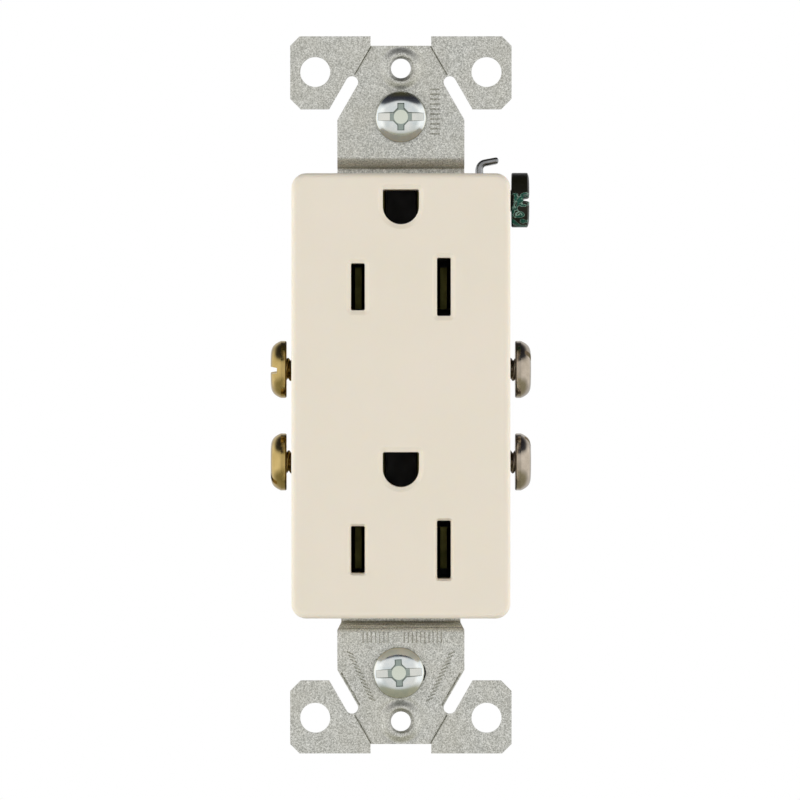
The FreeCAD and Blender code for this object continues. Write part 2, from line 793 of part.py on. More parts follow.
def add_leaf_pair(body, name, middle, widths, low, high):
    """Add two facing spring leaves; widths are (depth, half gap) from root to tip."""
    for number, sign in enumerate(SIGNS):
        sketch = start_sketch(body, f"{name}_outline_{number}", "XY_Plane", low)
        inner = [(f"{middle} {sign or '+'} ({gap})", deep) for deep, gap in widths]
        outer = [(f"{middle} {sign or '+'} ({gap} + leaf_thick)", deep) for deep, gap in widths]
        draw_outline(sketch, inner + outer[::-1])
        pad(body, f"{name}_{number}", sketch, f"({high}) - ({low})")


def make_contact_strip(name, sign):
    """One side's brass strip: terminal plate with break-off tab, arms and blade contacts."""
    body = new_body(name)
    plate = span(sign, "recess_x - spine_thick", "recess_x")
    block(body, "spine", "Additive", plate, ("spine_front", "spine_back"), ("spine_bottom", "spine_top"))
    gaps = (("tab_front_gap", "spine_front", "tab_front"), ("tab_back_gap", "tab_back", "spine_back"))
    for gap, front, back in gaps:
        block(body, gap, "Subtractive", plate, (front, back), ("tab_bottom", "tab_top"))
    block(body, "tab_window", "Subtractive", plate, ("tab_front + tab_rim_y", "tab_back - tab_rim_y"),
          ("tab_bottom + tab_rim_z", "tab_top - tab_rim_z"))
    outer = f"{sign}recess_x" if sign else "recess_x - spine_thick"
    for row, up in enumerate(("terminal_upper", "terminal_lower")):
        rod(body, f"terminal_hole_{row}", "Subtractive", "X", (outer, "terminal_y", up), "thread_bore",
            "spine_thick")
    middle = f"{sign}blade_x"
    reach = "gap_base + leaf_thick"
    widths = (
        ("spine_back - leaf_root", "gap_base"),
        ("leaf_bend", "gap_base"),
        ("leaf_pinch", "gap_pinch"),
        ("leaf_front", "gap_mouth"),
    )
    for row, centre in enumerate(OUTLETS):
        low = f"{centre} - arm_half"
        high = f"{centre} + arm_half"
        block(body, f"arm_{row}", "Additive", span(sign, f"blade_x - ({reach})", "recess_x - merge"),
              ("spine_back - arm_thick", "spine_back"), (low, high))
        add_leaf_pair(body, f"leaf_{row}", middle, widths, low, high)
    return body


def make_ground_strip():
    """The brass strip behind the bridge, with a gripping pair of leaves for each ground pin."""
    body = new_body("ground_contact_strip")
    deep = ("step_depth", "step_depth + ground_thick")
    block(body, "strip", "Additive", ("-ground_half", "ground_half"), deep,
          ("outlet_lower + pin_above", "outlet_upper + pin_above"))
    widths = (
        ("step_depth + ground_thick / 2", "ground_window_x"),
        ("ground_leaf_pinch", "ground_gap_pinch"),
        ("ground_leaf_back", "ground_gap_tail"),
    )
    for row, centre in enumerate(OUTLETS):
        pin = f"{centre} + pin_above"
        block(body, f"pad_{row}", "Additive", ("-ground_pad_half", "ground_pad_half"), deep,
              (f"{pin} - ground_pad_below", f"{pin} + ground_pad_above"))
        block(body, f"window_{row}", "Subtractive", ("-ground_window_x", "ground_window_x"), deep,
              (f"{pin} - ground_window_z", f"{pin} + ground_window_z"))
        add_leaf_pair(body, f"leaf_{row}", "0", widths, f"{pin} - ground_window_z",
                      f"{pin} + ground_window_z")
    holes = (
        ("assembly_upper", "assembly_clear"),
        ("rivet_z", "rivet_radius"),
        ("-rivet_z", "rivet_radius"),
    )
    for number, (up, radius) in enumerate(holes):
        rod(body, f"hole_{number}", "Subtractive", "Y", ("0", "step_depth", up), radius, "ground_thick")
    return body


def make_ground_bracket():
    """The steel plate that carries the green screw, with its hook above the housing."""
    body = new_body("ground_terminal_bracket")
    inner = "bracket_outer - bracket_thick"
    block(body, "foot", "Additive", ("bracket_foot_left", "bracket_outer"),
          ("parting", "parting + bracket_thick"), ("bracket_foot_bottom", "bracket_foot_top"))
    block(body, "plate", "Additive", (inner, "bracket_outer"), ("parting", "bracket_back"),
          ("bracket_bottom", "bracket_top"))
    sketch = start_sketch(body, "hook_outline", "XZ_Plane", "-hook_back")
    draw_outline(sketch, [
        (inner, "bracket_top - hook_root"),
        ("bracket_outer", "bracket_top - hook_root"),
        ("bracket_outer", "hook_bend_z"),
        ("hook_tip_x", "hook_tip_low"),
        ("hook_tip_x", "hook_tip_high"),
        (inner, "hook_top_z"),
    ])
    pad(body, "hook", sketch, "hook_back - hook_front")
    bends = (
        ("hook_outer_bend", "hook_bend_outer", size("bracket_outer") - size("bracket_thick"),
         size("hook_top_z")),
        ("hook_inner_bend", "hook_bend_inner", size("bracket_outer"), size("hook_bend_z")),
        ("hook_tip", "hook_tip_round", size("hook_tip_x"), None),
    )
    for name, radius, across, up in bends:
        def picked(edge, across=across, up=up):
            middle = edge.CenterOfMass
            level = up is None or near(middle.z, up)
            return edge_along(edge, "Y") and near(middle.x, across) and level
        soften(body, name, "Fillet", radius, picked)
    rod(body, "screw_hole", "Subtractive", "X", (inner, "terminal_y", "ground_screw_z"), "thread_bore",
        "bracket_thick")
    rod(body, "rivet_hole", "Subtractive", "Y", ("bracket_rivet_x", "parting", "bracket_rivet_z"),
        "rivet_radius", "bracket_thick")
    return body


def make_wire_clip(name, sign, up):
    """A folded spring that traps a push-in wire against the terminal plate."""
    body = new_body(name)
    sketch = start_sketch(body, "fold", "XY_Plane", f"{up} - clip_half_z")
    draw_outline(sketch, mirrored([
        ("clip_leg_x", "clip_front"),
        ("clip_leg_x", "clip_back"),
        ("clip_leg_x + clip_fold", "clip_back"),
        ("clip_tip_x", "clip_tip_y"),
        ("clip_tip_x - clip_thick", "clip_tip_y - clip_thick / 2"),
        ("clip_leg_x + clip_fold_inner_x", "clip_back - clip_fold_inner_y"),
        ("clip_leg_x + clip_thick", "clip_back - clip_fold_inner_y"),
        ("clip_leg_x + clip_thick", "clip_front"),
    ], sign, ""))
    pad(body, "spring", sketch, "2 * clip_half_z")
    return body


# ---- fasteners ----

FACINGS = {
    "front": FreeCAD.Rotation(FreeCAD.Vector(1, 0, 0), 90),
    "back": FreeCAD.Rotation(FreeCAD.Vector(1, 0, 0), -90),
    "left": FreeCAD.Rotation(FreeCAD.Vector(0, 0, 1), FreeCAD.Vector(-1, 0, 0)),
    "right": FreeCAD.Rotation(FreeCAD.Vector(0, 0, 1), FreeCAD.Vector(1, 0, 0)),
}


def cut_screw_neck(body):
    """Slim the unthreaded neck of a mounting screw, where the retainer holds it."""
    sketch = start_sketch(body, "neck_outline", "XZ_Plane", "0")
    draw_outline(sketch, [
        ("mounting_neck", "-mounting_neck_length"),
        ("mounting_head", "-mounting_neck_length"),
        ("mounting_head", "0"),
        ("mounting_neck", "0"),
    ])
    groove = body.newObject("PartDesign::Groove", "neck")
    groove.Profile = sketch
    groove.ReferenceAxis = (sketch, ["V_Axis"])
    groove.Angle = 360
    document.recompute()


def cut_drive(body, top, reach):
    """Cut the slot and the cross recess of a combination drive."""
    block(body, "slot", "Subtractive", (f"-{reach}", reach), ("-drive_width / 2", "drive_width / 2"),
          (f"{top} - drive_depth", top))
    for label, across, along in (("arm", "cross_width / 2", "cross_reach"),
                                 ("cross", "cross_reach", "cross_width / 2")):
        block(body, label, "Subtractive", (f"-{across}", across), (f"-{along}", along),
              (f"{top} - cross_depth", top))
    cone(body, "centre", "Subtractive", "Z", ("0", "0", f"{top} - cross_depth - merge"),
         "cross_centre / 2", "cross_centre", "cross_depth + merge")


def make_screw(name, kind, facing, seat, turn="0"):
    """A combination-drive screw. Its head's underside is at seat and its head looks to facing."""
    body = new_body(name)
    rod(body, "shank", "Additive", "Z", ("0", "0", f"-{kind}_length"), f"{kind}_shank", f"{kind}_length")
    if kind == "mounting":
        cut_screw_neck(body)
    cone(body, "rim", "Additive", "Z", ("0", "0", "0"), f"{kind}_head", f"{kind}_rim_top", f"{kind}_rim")
    cap(body, "dome", f"{kind}_rim", f"{kind}_rim_top", f"{kind}_dome")
    rim_levels = (0.0, size(f"{kind}_rim"))
    shank_width = 2 * size(f"{kind}_shank")

    def on_rim(edge):
        box = edge.BoundBox
        wider = box.XLength > shank_width + TOLERANCE
        return wider and near(box.ZLength, 0) and any(near(box.ZMin, level) for level in rim_levels)
    soften(body, "edges", "Fillet", f"{kind}_edge", on_rim)
    cut_drive(body, f"({kind}_rim + {kind}_dome)", "drive_reach" if kind == "mounting" else f"{kind}_head")
    rotation = FACINGS[facing]
    body.Placement = FreeCAD.Placement(FreeCAD.Vector(), rotation)
    if turn != "0":
        spin = FreeCAD.Rotation(FreeCAD.Vector(0, 0, 1), size(turn))
        body.Placement = FreeCAD.Placement(FreeCAD.Vector(), rotation.multiply(spin))
    for letter, text in zip("xyz", seat):
        bind(body, f"Placement.Base.{letter}", text)
    return body


def make_retainer(name, across, up):
    """A fibre washer behind the strap that keeps a mounting screw from falling out."""
    body = new_body(name)
    block(body, "washer", "Additive", (f"{across} - retainer_half_x", f"{across} + retainer_half_x"),
          ("retainer_gap", "retainer_gap + retainer_thick"),
          (f"{up} - retainer_half_z", f"{up} + retainer_half_z"))
    rod(body, "hole", "Subtractive", "Y", (across, "0", up), "retainer_bore",
        "retainer_gap + retainer_thick")
    soften(body, "corners", "Fillet", "retainer_corner",
           lambda edge: edge_along(edge, "Y") and abs(edge.CenterOfMass.x) > size("retainer_half_x") / 2)
    return body


def make_rivet(name, across, up, grip):
    """A rivet that clamps a contact or bracket of thickness grip to the back of the bridge."""
    body = new_body(name)
    front = "step_depth - strap_thick"
    rod(body, "shank", "Additive", "Y", (across, front, up), "rivet_radius", f"strap_thick + {grip}")
    cone(body, "front_head", "Additive", "Y", (across, f"{front} - rivet_head_thick", up),
         "rivet_head_small", "rivet_head_radius", "rivet_head_thick")
    cone(body, "back_head", "Additive", "Y", (across, f"step_depth + {grip}", up),
         "rivet_head_radius", "rivet_head_small", "rivet_head_thick")
    return body


def make_fasteners():
    bodies = []
    for side, sign, facing in (("hot", "-", "left"), ("neutral", "", "right")):
        for level in ("upper", "lower"):
            seat = (f"{sign}terminal_seat", "terminal_y", f"terminal_{level}")
            bodies.append(make_screw(f"terminal_screw_{side}_{level}", "terminal", facing, seat))
    seat = ("ground_screw_seat", "terminal_y", "ground_screw_z")
    bodies.append(make_screw("ground_screw", "ground", "right", seat))
    levels = (
        ("upper", "0", "mounting_z", "0"),
        ("lower", "mounting_lower_x", "-mounting_z", "mounting_lower_turn"),
    )
    for level, across, up, turn in levels:
        seat = (across, "-strap_thick - retainer_gap", up)
        bodies.append(make_screw(f"mounting_screw_{level}", "mounting", "front", seat, turn))
        bodies.append(make_retainer(f"screw_retainer_{level}", across, up))
        seat = ("0", "assembly_seat", f"assembly_{level}")
        bodies.append(make_screw(f"assembly_screw_{level}", "assembly", "back", seat))
    rivets = (
        ("ground_strip_rivet_upper", "0", "rivet_z", "ground_thick"),
        ("ground_strip_rivet_lower", "0", "-rivet_z", "ground_thick"),
        ("ground_bracket_rivet", "bracket_rivet_x", "bracket_rivet_z", "bracket_thick"),
    )
    for name, across, up, grip in rivets:
        bodies.append(make_rivet(name, across, up, grip))
    return bodies


def make_all():
    bodies = [make_face_cover(), make_base_housing(), make_mounting_strap()]
    bodies.append(make_contact_strip("hot_contact_strip", "-"))
    bodies.append(make_contact_strip("neutral_contact_strip", ""))
    bodies.append(make_ground_strip())
    bodies.append(make_ground_bracket())
    for side, sign in (("hot", "-"), ("neutral", "")):
        for level in ("upper", "lower"):
            bodies.append(make_wire_clip(f"wire_clip_{side}_{level}", sign, f"wire_{level}"))
    bodies.extend(make_fasteners())
    return bodies


def check_document():
    for item in document.Objects:
        if "Invalid" in item.State or "Error" in item.State:
            raise RuntimeError(f"{item.Label} failed: {item.State}")


def export(bodies):
    os.makedirs("parts", exist_ok=True)
    for body in bodies:
        shape = body.Shape
        if shape.isNull() or not shape.isValid() or not shape.Solids:
            raise RuntimeError(f"{body.Label} has no valid solid")
        shape.exportStep(os.path.join("parts", f"{body.Label}.step"))
        box = shape.BoundBox
        corners = [f"{number:.2f}" for number in (box.XMin, box.YMin, box.ZMin, box.XMax, box.YMax, box.ZMax)]
        print(f"{body.Label}: {len(shape.Solids)} solid, {shape.Volume:.1f} mm3, box {' '.join(corners)}")


parts = make_all()
document.recompute()
check_document()
export(parts)
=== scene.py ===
import json
import math

import bmesh
import bpy
from mathutils import Matrix, Vector


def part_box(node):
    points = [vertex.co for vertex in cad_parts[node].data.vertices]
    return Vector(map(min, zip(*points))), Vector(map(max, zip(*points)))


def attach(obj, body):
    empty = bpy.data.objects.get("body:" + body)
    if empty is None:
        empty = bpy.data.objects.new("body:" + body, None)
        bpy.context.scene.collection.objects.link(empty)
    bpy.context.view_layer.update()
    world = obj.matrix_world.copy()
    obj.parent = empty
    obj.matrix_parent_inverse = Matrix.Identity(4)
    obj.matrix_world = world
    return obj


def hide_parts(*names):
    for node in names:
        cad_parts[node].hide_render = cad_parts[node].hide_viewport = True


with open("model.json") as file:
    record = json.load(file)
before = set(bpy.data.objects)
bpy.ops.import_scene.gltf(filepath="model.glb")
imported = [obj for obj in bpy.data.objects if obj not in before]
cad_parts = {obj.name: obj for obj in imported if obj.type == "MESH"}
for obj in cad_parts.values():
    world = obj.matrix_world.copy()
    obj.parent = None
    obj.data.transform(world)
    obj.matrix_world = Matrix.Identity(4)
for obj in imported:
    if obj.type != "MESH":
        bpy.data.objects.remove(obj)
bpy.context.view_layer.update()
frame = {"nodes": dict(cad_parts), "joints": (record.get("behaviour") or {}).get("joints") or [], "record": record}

# Duplex wall outlet. The frame is in metres; pieces are modelled in millimetres and scaled at the end.
MM = 0.001
mounts = {mount["name"]: mount for mount in frame["record"]["mounts"]}
joints = {joint["child"]: joint for joint in frame["joints"]}


def box_mm(node):
    """Lowest and highest corner of a CAD node, in millimetres."""
    low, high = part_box(node)
    return low / MM, high / MM


# ---- node helpers ----

def new_material(name):
    """A material with a Principled shader, and object coordinates in millimetres."""
    material = bpy.data.materials.new(name)
    material.use_nodes = True
    nodes = material.node_tree.nodes
    nodes.clear()
    output = nodes.new("ShaderNodeOutputMaterial")
    shader = nodes.new("ShaderNodeBsdfPrincipled")
    material.node_tree.links.new(shader.outputs["BSDF"], output.inputs["Surface"])
    place = nodes.new("ShaderNodeTexCoord")
    scale = nodes.new("ShaderNodeMapping")
    scale.inputs["Scale"].default_value = (1 / MM, 1 / MM, 1 / MM)
    material.node_tree.links.new(place.outputs["Object"], scale.inputs["Vector"])
    return Maker(material, shader, scale.outputs["Vector"])


class Maker:
    """Adds nodes to one material. Lengths are in millimetres."""

    def __init__(self, material, shader, vector):
        self.material = material
        self.shader = shader
        self.vector = vector
        self.tree = material.node_tree

    def node(self, kind, **values):
        made = self.tree.nodes.new(kind)
        for key, value in values.items():
            setattr(made, key, value)
        return made

    def link(self, source, target):
        self.tree.links.new(source, target)

    def noise(self, grain, detail=3.0, roughness=0.55, stretch=(1, 1, 1), distortion=0.0):
        """Noise whose features are about grain millimetres across."""
        squeeze = self.node("ShaderNodeMapping")
        squeeze.inputs["Scale"].default_value = stretch
        self.link(self.vector, squeeze.inputs["Vector"])
        made = self.node("ShaderNodeTexNoise")
        made.inputs["Scale"].default_value = 1 / grain
        made.inputs["Detail"].default_value = detail
        made.inputs["Roughness"].default_value = roughness
        made.inputs["Distortion"].default_value = distortion
        self.link(squeeze.outputs["Vector"], made.inputs["Vector"])
        return made.outputs["Fac"]

    def spread(self, value, low, high, start=0.3, end=0.7):
        """Map a value between start and end onto low to high."""
        made = self.node("ShaderNodeMapRange")
        for socket, number in (("From Min", start), ("From Max", end), ("To Min", low), ("To Max", high)):
            made.inputs[socket].default_value = number
        self.link(value, made.inputs["Value"])
        return made.outputs["Result"]

    def mix(self, factor, first, second, blend="MIX"):
        """Mix two colours; each is a colour or a socket, and so is the factor."""
        made = self.node("ShaderNodeMix", data_type="RGBA", blend_type=blend)
        for socket, value in ((0, factor), (6, first), (7, second)):
            if isinstance(value, bpy.types.NodeSocket):
                self.link(value, made.inputs[socket])
            elif socket == 0:
                made.inputs[socket].default_value = value
            else:
                made.inputs[socket].default_value = (*value, 1.0)
        return made.outputs[2]

    def bump(self, height, depth, base=None):
        """Add relief of about depth millimetres."""
        made = self.node("ShaderNodeBump")
        made.inputs["Strength"].default_value = 1.0
        made.inputs["Distance"].default_value = depth * MM
        self.link(height, made.inputs["Height"])
        if base is not None:
            self.link(base, made.inputs["Normal"])
        return made.outputs["Normal"]

    def set(self, **values):
        """Set sockets of the shader, named with spaces as underscores."""
        for key, value in values.items():
            socket = self.shader.inputs[key.replace("_", " ")]
            if isinstance(value, bpy.types.NodeSocket):
                self.link(value, socket)
            elif isinstance(value, tuple) and socket.type == "RGBA":
                socket.default_value = (*value, 1.0)
            else:
                socket.default_value = value


# ---- materials ----

def face_plastic():
    """Satin light almond plastic, a little translucent, with slow clouds and a fine moulded grain."""
    make = new_material("light_almond_plastic")
    cloud = make.spread(make.noise(14.0, detail=2.0), 0.0, 1.0)
    colour = make.mix(cloud, (0.800, 0.735, 0.610), (0.815, 0.742, 0.628))
    fine = make.noise(0.09, detail=2.0)
    make.set(Base_Color=colour, Roughness=make.spread(make.noise(3.0), 0.36, 0.43), IOR=1.49,
             Specular_IOR_Level=0.42, Subsurface_Weight=0.25, Subsurface_Radius=(1.0, 0.7, 0.4),
             Subsurface_Scale=0.0006, Normal=make.bump(fine, 0.0012))
    return make.material


def base_plastic():
    """Near-black plastic with a visible moulded grain."""
    make = new_material("dark_base_plastic")
    grain = make.noise(0.16, detail=3.0)
    colour = make.mix(make.spread(make.noise(2.4), 0, 1), (0.020, 0.020, 0.021), (0.030, 0.029, 0.028))
    make.set(Base_Color=colour, Roughness=make.spread(make.noise(1.1), 0.42, 0.56), IOR=1.52,
             Normal=make.bump(grain, 0.006))
    return make.material


METAL_GRAIN = 0.22
TINT_SIZE = 2.5


def metal(name, dark, light, rough, relief):
    """A plated or rolled metal with fine grain, slow tint changes and roughness variation."""
    make = new_material(name)
    fine = make.noise(METAL_GRAIN, detail=4.0)
    slow = make.noise(TINT_SIZE, detail=3.0)
    colour = make.mix(make.spread(slow, 0, 1), dark, light)
    make.set(Base_Color=colour, Metallic=1.0, Roughness=make.spread(fine, rough * 0.8, rough * 1.25),
             Normal=make.bump(fine, relief))
    return make.material


# painted light and shade down a mounting screw's drive (slot floor and pit painted pale, cross recess floor
# painted dark green as painted shade with a green plating tint): the frame Y where each starts, the Y where it is
# full, and the tone
DRIVE_PAINTED_TONES = (
    (-2.24, -2.20, (0.80, 0.78, 0.69)),     # floor of the slot
    (-2.12, -2.08, (0.33, 0.385, 0.35)),    # floor of the cross recess
    (-2.045, -2.03, (0.72, 0.76, 0.66)),    # pit in the middle
)


def clear_zinc():
    """Clear-passivated zinc; in the drive, a pale slot floor and pit as painted light, a dark green recess floor
    as painted shade with a green plating tint, and steep walls painted near black as painted shade.
    """
    make = new_material("clear_zinc")
    fine = make.noise(METAL_GRAIN, detail=4.0)
    slow = make.noise(1.6, detail=3.0)
    facing = make.node("ShaderNodeSeparateXYZ")
    make.link(make.node("ShaderNodeTexCoord").outputs["Normal"], facing.inputs["Vector"])
    flatness = make.node("ShaderNodeMath", operation="ABSOLUTE")
    make.link(facing.outputs["Y"], flatness.inputs[0])
    # painted shade: steep walls of the drive are painted near-black green
    painted_wall_shade = make.spread(flatness.outputs["Value"], 1, 0, 0.25, 0.45)
    place = make.node("ShaderNodeSeparateXYZ")
    make.link(make.vector, place.inputs["Vector"])
    colour = make.mix(make.spread(slow, 0, 1), (0.66, 0.72, 0.73), (0.84, 0.85, 0.82))
    # painted light and shade by depth: pale slot floor and pit, dark green recess floor
    for start, full, tone in DRIVE_PAINTED_TONES:
        colour = make.mix(make.spread(place.outputs["Y"], 0, 1, start, full), colour, tone)
    # painted shade laid over the steep walls
    colour = make.mix(painted_wall_shade, colour, (0.045, 0.075, 0.060))
    make.set(Base_Color=colour, Metallic=1.0, Roughness=make.spread(fine, 0.11, 0.18),
             Normal=make.bump(fine, 0.002))
    return make.material


def galvanised():
    """Zinc-coated sheet: fine light and dark grain over slow warm and cool clouds."""
    make = new_material("galvanised_strap")
    speck = make.noise(0.19, detail=5.0, roughness=0.8)
    blotch = make.noise(1.1, detail=4.0, roughness=0.6)
    warm = make.noise(5.5, detail=2.0)
    tone = make.mix(make.spread(speck, 0, 1, 0.38, 0.62), (0.32, 0.32, 0.29), (1.0, 1.0, 0.95))
    cloud = make.mix(make.spread(blotch, 0, 1), (0.84, 0.845, 0.83), (1.0, 1.0, 1.0))
    tinted = make.mix(1.0, tone, cloud, "MULTIPLY")
    colour = make.mix(make.spread(warm, 0.0, 0.20), tinted, (0.60, 0.56, 0.44))
    make.set(Base_Color=colour, Metallic=0.88, Roughness=make.spread(speck, 0.50, 0.30),
             Normal=make.bump(speck, 0.016, make.bump(blotch, 0.012)))
    return make.material


def contact_metal(name, bright_dark, bright_light):
    """Strip metal: bright at the terminal plates, and painted dark olive where it lies deep in the housing, as
    painted shade.
    """
    # painted shade reaches out to the first |x| below; the bright metal is full from the second
    painted_shade_ends = 12.4
    unshaded_starts = 13.2
    make = new_material(name)
    fine = make.noise(METAL_GRAIN, detail=4.0)
    slow = make.noise(TINT_SIZE, detail=3.0)
    split = make.node("ShaderNodeSeparateXYZ")
    make.link(make.vector, split.inputs["Vector"])
    side = make.node("ShaderNodeMath", operation="ABSOLUTE")
    make.link(split.outputs["X"], side.inputs[0])
    unshaded = make.spread(side.outputs["Value"], 0, 1, painted_shade_ends, unshaded_starts)
    bright = make.mix(make.spread(slow, 0, 1), bright_dark, bright_light)
    # painted shade: dark olive tone where the strip lies deep in the housing
    deep = make.mix(make.spread(slow, 0, 1), (0.080, 0.078, 0.022), (0.160, 0.150, 0.045))
    make.set(Base_Color=make.mix(unshaded, deep, bright), Metallic=1.0,
             Roughness=make.spread(fine, 0.28, 0.42), Normal=make.bump(fine, 0.004))
    return make.material


def green_lacquer():
    """Black lacquer with emerald pools on the low side, each with a thin pale rim where it dried."""
    pools_full = 29.9
    pools_end = 31.0
    edge = 0.50
    make = new_material("green_ground_lacquer")
    pool = make.noise(2.6, detail=3.0, roughness=0.60, distortion=1.4)
    fine = make.noise(METAL_GRAIN, detail=4.0)
    split = make.node("ShaderNodeSeparateXYZ")
    make.link(make.vector, split.inputs["Vector"])
    low_side = make.spread(split.outputs["Z"], 1, 0, pools_full, pools_end)
    level = make.node("ShaderNodeMath", operation="MULTIPLY")
    make.link(pool, level.inputs[0])
    make.link(low_side, level.inputs[1])
    height = level.outputs["Value"]
    green = make.mix(make.spread(fine, 0, 1), (0.002, 0.040, 0.026), (0.010, 0.150, 0.100))
    body = make.mix(make.spread(height, 0, 1, edge, edge + 0.04), (0.010, 0.010, 0.005), green)
    rise = make.spread(height, 0, 1, edge - 0.005, edge + 0.005)
    fall = make.spread(height, 1, 0, edge + 0.010, edge + 0.025)
    rim = make.node("ShaderNodeMath", operation="MULTIPLY")
    make.link(rise, rim.inputs[0])
    make.link(fall, rim.inputs[1])
    colour = make.mix(rim.outputs["Value"], body, (0.32, 0.52, 0.42))
    make.set(Base_Color=colour, Metallic=0.0, Roughness=make.spread(fine, 0.30, 0.48), IOR=1.38,
             Normal=make.bump(height, 0.20, make.bump(fine, 0.015)))
    return make.material


def fibre():
    """Dark vulcanised fibre with strands along its width."""
    make = new_material("fibre_board")
    strands = make.noise(0.18, detail=5.0, stretch=(0.25, 1, 1))
    colour = make.mix(make.spread(strands, 0, 1), (0.022, 0.018, 0.015), (0.060, 0.048, 0.038))
    make.set(Base_Color=colour, Roughness=0.85, Normal=make.bump(strands, 0.03))
    return make.material


def make_materials():
    """Every finish, by material slot. contact_nickel is the neutral strip's own."""
    terminal_relief = 0.003
    return {
        "face_plastic": face_plastic(),
        "base_plastic": base_plastic(),
        "strap_steel": galvanised(),
        "contact_brass": contact_metal("contact_brass", (0.55, 0.40, 0.16), (0.66, 0.50, 0.22)),
        "contact_nickel": contact_metal("contact_nickel", (0.44, 0.39, 0.34), (0.58, 0.52, 0.46)),
        "terminal_brass": metal("terminal_brass", (0.42, 0.305, 0.105), (0.58, 0.43, 0.175), 0.16,
                                terminal_relief),
        "terminal_silver": metal("terminal_nickel", (0.39, 0.335, 0.265), (0.54, 0.47, 0.385), 0.15,
                                 terminal_relief),
        "ground_green": green_lacquer(),
        "screw_zinc": clear_zinc(),
        "spring_steel": metal("dark_zinc_steel", (0.20, 0.205, 0.21), (0.40, 0.405, 0.41), 0.20, 0.004),
        "fibre": fibre(),
    }


# ---- mesh helpers ----

def mesh_object(name, vertices, faces):
    """An object in the scene with this mesh."""
    mesh = bpy.data.meshes.new(name)
    mesh.from_pydata(vertices, [], faces)
    made = bpy.data.objects.new(name, mesh)
    bpy.context.scene.collection.objects.link(made)
    return made


def apply_modifiers(piece):
    """Replace the piece's mesh by what its modifiers make of it."""
    graph = bpy.context.evaluated_depsgraph_get()
    mesh = bpy.data.meshes.new_from_object(piece.evaluated_get(graph))
    piece.modifiers.clear()
    piece.data = mesh


def cut(piece, cutter):
    """Take the cutter's volume out of the piece."""
    modifier = piece.modifiers.new("cut", "BOOLEAN")
    modifier.operation = "DIFFERENCE"
    modifier.solver = "EXACT"
    modifier.object = cutter
    apply_modifiers(piece)
    bpy.data.objects.remove(cutter)


def bevel(piece, width, segments, angle, clamp=True):
    """Round the edges sharper than an angle in degrees."""
    modifier = piece.modifiers.new("bevel", "BEVEL")
    modifier.width = width
    modifier.segments = segments
    modifier.limit_method = "ANGLE"
    modifier.angle_limit = math.radians(angle)
    modifier.use_clamp_overlap = clamp
    apply_modifiers(piece)


def smooth(piece, angle):
    """Shade smooth, with edges sharper than an angle in degrees left sharp."""
    piece.data.shade_smooth()
    piece.data.set_sharp_from_angle(angle=math.radians(angle))
    piece.data.update()


def flatten_normals(piece):
    """Turn the shading of bevelled edges over the bevels, so that flat faces shade flat."""
    modifier = piece.modifiers.new("weighted", "WEIGHTED_NORMAL")
    modifier.weight = 100
    modifier.keep_sharp = True
    apply_modifiers(piece)


def circle(radius, height, segments):
    """A ring of points round Z."""
    angles = [2 * math.pi * step / segments for step in range(segments)]
    return [(radius * math.cos(angle), radius * math.sin(angle), height) for angle in angles]


def stack(name, rings, closed=False):
    """Skin rings of points from the lowest up; a ring of one point is a tip.

    A closed stack joins its last ring to its first, and has no caps.
    """
    vertices = []
    numbered = []
    for ring in rings:
        numbered.append(list(range(len(vertices), len(vertices) + len(ring))))
        vertices.extend(ring)
    pairs = list(zip(numbered, numbered[1:]))
    faces = []
    if closed:
        pairs.append((numbered[-1], numbered[0]))
    else:
        faces.extend(tuple(reversed(ring)) for ring in numbered[:1] if len(ring) > 1)
        faces.extend(tuple(ring) for ring in numbered[-1:] if len(ring) > 1)
    for lower, upper in pairs:
        for step in range(max(len(lower), len(upper))):
            after = (step + 1) % max(len(lower), len(upper))
            if len(lower) == 1:
                faces.append((lower[0], upper[after], upper[step]))
            elif len(upper) == 1:
                faces.append((lower[step], lower[after], upper[0]))
            else:
                faces.append((lower[step], lower[after], upper[after], upper[step]))
    return mesh_object(name, vertices, faces)


def lathe(name, profile, segments, closed=False):
    """Turn a profile of (radius, height) points round Z. The ends may lie on the axis."""
    rings = []
    for radius, height in profile:
        rings.append(circle(radius, height, segments) if radius > 0 else [(0, 0, height)])
    return stack(name, rings, closed)


def prism(outline, low, high):
    """Vertices and faces of a closed prism over an anticlockwise outline in XY."""
    count = len(outline)
    vertices = [(x, y, low) for x, y in outline] + [(x, y, high) for x, y in outline]
    faces = [tuple(reversed(range(count))), tuple(range(count, 2 * count))]
    for step in range(count):
        after = (step + 1) % count
        faces.append((step, after, count + after, count + step))
    return vertices, faces


def join_shapes(name, shapes):
    """One mesh object from several (vertices, faces) shapes."""
    vertices = []
    faces = []
    for shape_vertices, shape_faces in shapes:
        start = len(vertices)
        vertices.extend(shape_vertices)
        faces.extend(tuple(index + start for index in face) for face in shape_faces)
    return mesh_object(name, vertices, faces)


def cad_copy(node, name):
    """A copy of a CAD node in millimetres, with flat regions as single faces and no stored normals."""
    same_point = 0.0005
    same_plane = math.radians(0.6)
    shape = bmesh.new()
    shape.from_mesh(frame["nodes"][node].data)
    bmesh.ops.scale(shape, vec=(1 / MM, 1 / MM, 1 / MM), verts=shape.verts)
    bmesh.ops.remove_doubles(shape, verts=shape.verts, dist=same_point)
    bmesh.ops.dissolve_limit(shape, angle_limit=same_plane, verts=shape.verts, edges=shape.edges)
    shape.verts.index_update()
    vertices = [vertex.co.copy() for vertex in shape.verts]
    faces = [tuple(vertex.index for vertex in face.verts) for face in shape.faces]
    shape.free()
    return mesh_object(name, vertices, faces)


